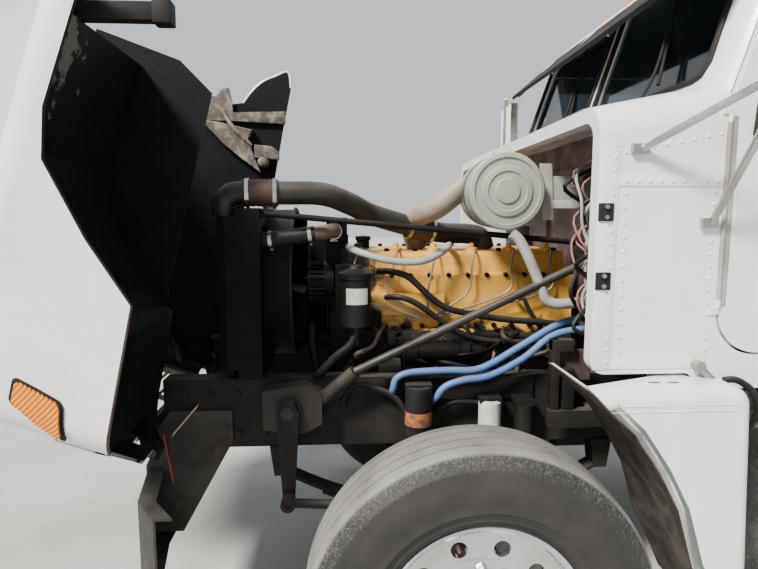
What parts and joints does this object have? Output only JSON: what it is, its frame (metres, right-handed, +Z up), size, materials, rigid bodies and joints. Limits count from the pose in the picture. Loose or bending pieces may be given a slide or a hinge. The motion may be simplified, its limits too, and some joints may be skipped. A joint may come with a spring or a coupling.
{
  "type": "tandem-axle dump truck with its hood tilted open",
  "caption": "Conventional dump truck with tandem drive axles: tilting hood, opening doors, steering, turning wheels, and a bed that a telescopic hoist tips.",
  "frame": {"origin": "on the ground, under the middle of the whole truck's box", "axes": "+X to the truck's front, +Y to its left, +Z up"},
  "size_m": [8.8604, 2.69, 3.1499],
  "materials": {
    "body_paint": "weathered gloss white",
    "liner_black": "matte",
    "chassis_black": "dusty semi-matte",
    "bumper_steel": "weathered",
    "engine_paint": "oily semi-gloss",
    "engine_dark": "dusty",
    "pipe_dark": "satin",
    "hose_rubber": "matte",
    "cleaner_paint": "satin",
    "stack_chrome": "polished",
    "tank_aluminium": "brushed",
    "mirror_steel": "brushed",
    "grille_paint": "dusty",
    "lamp_glass": "clear",
    "window_glass": "tinted",
    "firewall_paint": "dusty",
    "trim_grey": "matte",
    "bed_paint": "scuffed",
    "hoist_steel": "oiled",
    "tyre_rubber": "dusty",
    "rim_aluminium": "polished",
    "rim_paint": "dusty"
  },
  "bodies": {
    "chassis": {"air_cleaner": "cleaner_paint", "battery_box": "liner_black", "cab_glass": "window_glass", "cab_interior": "trim_grey", "cab_shell": "body_paint", "charge_pipe": "pipe_dark", "coolant_hoses": "hose_rubber", "crossmembers": "chassis_black", "drive_axles": "chassis_black", "driveline": "chassis_black", "engine": "engine_paint", "engine_front": "engine_dark", "exhaust_stack": "stack_chrome", "filters": "engine_dark", "firewall": "firewall_paint", "frame_brackets": "chassis_black", "frame_rails": "chassis_black", "front_axle": "chassis_black", "front_bumper": "bumper_steel", "fuel_tank": "tank_aluminium", "mirrors": "mirror_steel", "quarter_fenders": "body_paint", "radiator": "engine_dark", "rear_fittings": "liner_black", "steering_gear": "chassis_black", "suspension": "chassis_black", "visor": "body_paint"},
    "hood": {"hood_shell": "body_paint", "hood_liners": "liner_black", "grille": "grille_paint", "head_lamps": "lamp_glass"},
    "fan": {"fan": "engine_dark"},
    "tie_rod": {"tie_rod": "chassis_black"},
    "pitman_arm": {"pitman_arm": "chassis_black"},
    "drag_link": {"drag_link": "chassis_black"},
    "bed": {"dump_bed": "bed_paint"},
    "tailgate": {"tailgate": "bed_paint"},
    "hoist_barrel": {"hoist_barrel": "hoist_steel"},
    "hoist_stage_1": {"hoist_stage_1": "hoist_steel"},
    "hoist_stage_2": {"hoist_stage_2": "hoist_steel"},
    "hoist_rod": {"hoist_rod": "hoist_steel"},
    "door_left": {"door_left": "body_paint", "door_glass_left": "window_glass"},
    "knuckle_left": {"knuckle_left": "chassis_black"},
    "wheel_front_left": {"tyre_front_left": "tyre_rubber", "rim_front_left": "rim_aluminium"},
    "wheels_mid_left": {"tyres_mid_left": "tyre_rubber", "rims_mid_left": "rim_paint"},
    "wheels_rear_left": {"tyres_rear_left": "tyre_rubber", "rims_rear_left": "rim_paint"},
    "door_right": {"door_right": "body_paint", "door_glass_right": "window_glass"},
    "knuckle_right": {"knuckle_right": "chassis_black"},
    "wheel_front_right": {"tyre_front_right": "tyre_rubber", "rim_front_right": "rim_aluminium"},
    "wheels_mid_right": {"tyres_mid_right": "tyre_rubber", "rims_mid_right": "rim_paint"},
    "wheels_rear_right": {"tyres_rear_right": "tyre_rubber", "rims_rear_right": "rim_paint"}
  },
  "joints": [
    {"name": "hood_tilt", "type": "hinge", "parent": "chassis", "child": "hood", "pos_m": [3.4958, 0, 0.8], "axis": [0, 1, 0], "range_deg": [-70, 0]},
    {"name": "fan_spin", "type": "hinge", "parent": "chassis", "child": "fan", "pos_m": [2.9858, 0, 1.378], "axis": [1, 0, 0], "continuous": true},
    {"name": "steer_left", "type": "hinge", "parent": "chassis", "child": "knuckle_left", "pos_m": [2.3958, 0.85, 0.518], "axis": [0, 0, 1], "range_deg": [-30, 30]},
    {"name": "steer_right", "type": "hinge", "parent": "chassis", "child": "knuckle_right", "pos_m": [2.3958, -0.85, 0.518], "axis": [0, 0, 1], "range_deg": [-30, 30]},
    {"name": "tie_rod_turn", "type": "hinge", "parent": "knuckle_left", "child": "tie_rod", "pos_m": [2.2208, 0.85, 0.41], "axis": [0, 0, 1], "range_deg": [-30, 30]},
    {"name": "pitman_swing", "type": "hinge", "parent": "chassis", "child": "pitman_arm", "pos_m": [2.9958, 0.54, 0.95], "axis": [0, -1, 0], "range_deg": [-17.65, 17.65]},
    {"name": "drag_link_turn", "type": "hinge", "parent": "pitman_arm", "child": "drag_link", "pos_m": [2.9958, 0.578, 0.62], "axis": [0, -1, 0], "range_deg": [-17.65, 17.65]},
    {"name": "bed_tilt", "type": "hinge", "parent": "chassis", "child": "bed", "pos_m": [-4.0842, 0, 1.15], "axis": [0, -1, 0], "range_deg": [0, 45]},
    {"name": "tailgate_swing", "type": "hinge", "parent": "bed", "child": "tailgate", "pos_m": [-4.4002, 0, 2.52], "axis": [0, 1, 0], "range_deg": [0, 70]},
    {"name": "hoist_lean", "type": "hinge", "parent": "chassis", "child": "hoist_barrel", "pos_m": [0.2658, 0, 1.01], "axis": [0, -1, 0], "range_deg": [0, 27.6]},
    {"name": "hoist_slide_1", "type": "slide", "parent": "hoist_barrel", "child": "hoist_stage_1", "axis": [0, 0, 1], "range_m": [0, 1.0825]},
    {"name": "hoist_slide_2", "type": "slide", "parent": "hoist_stage_1", "child": "hoist_stage_2", "axis": [0, 0, 1], "range_m": [0, 1.0825]},
    {"name": "hoist_slide_3", "type": "slide", "parent": "hoist_stage_2", "child": "hoist_rod", "axis": [0, 0, 1], "range_m": [0, 1.0825]},
    {"name": "door_left_swing", "type": "hinge", "parent": "chassis", "child": "door_left", "pos_m": [1.6738, 0.972, 1.7], "axis": [0, 0, 1], "range_deg": [-70, 0]},
    {"name": "wheel_front_left_spin", "type": "hinge", "parent": "knuckle_left", "child": "wheel_front_left", "pos_m": [2.3958, 1.005, 0.518], "axis": [0, 1, 0], "continuous": true},
    {"name": "wheels_mid_left_spin", "type": "hinge", "parent": "chassis", "child": "wheels_mid_left", "pos_m": [-2.1442, 0.93, 0.518], "axis": [0, 1, 0], "continuous": true},
    {"name": "wheels_rear_left_spin", "type": "hinge", "parent": "chassis", "child": "wheels_rear_left", "pos_m": [-3.4642, 0.93, 0.518], "axis": [0, 1, 0], "continuous": true},
    {"name": "door_right_swing", "type": "hinge", "parent": "chassis", "child": "door_right", "pos_m": [1.6738, -0.972, 1.7], "axis": [0, 0, 1], "range_deg": [0, 70]},
    {"name": "wheel_front_right_spin", "type": "hinge", "parent": "knuckle_right", "child": "wheel_front_right", "pos_m": [2.3958, -1.005, 0.518], "axis": [0, 1, 0], "continuous": true},
    {"name": "wheels_mid_right_spin", "type": "hinge", "parent": "chassis", "child": "wheels_mid_right", "pos_m": [-2.1442, -0.93, 0.518], "axis": [0, 1, 0], "continuous": true},
    {"name": "wheels_rear_right_spin", "type": "hinge", "parent": "chassis", "child": "wheels_rear_right", "pos_m": [-3.4642, -0.93, 0.518], "axis": [0, 1, 0], "continuous": true}
  ],
  "couplings": [
    {"joint": "steer_right", "follows": "steer_left", "ratio": 1},
    {"joint": "tie_rod_turn", "follows": "steer_left", "ratio": -1},
    {"joint": "pitman_swing", "follows": "steer_left", "ratio": 0.588},
    {"joint": "drag_link_turn", "follows": "steer_left", "ratio": -0.588},
    {"joint": "hoist_lean", "follows": "bed_tilt", "ratio": 0.6127},
    {"joint": "hoist_slide_1", "follows": "bed_tilt", "m_per_rad": 1.3774},
    {"joint": "hoist_slide_2", "follows": "bed_tilt", "m_per_rad": 1.3774},
    {"joint": "hoist_slide_3", "follows": "bed_tilt", "m_per_rad": 1.3774}
  ]
}
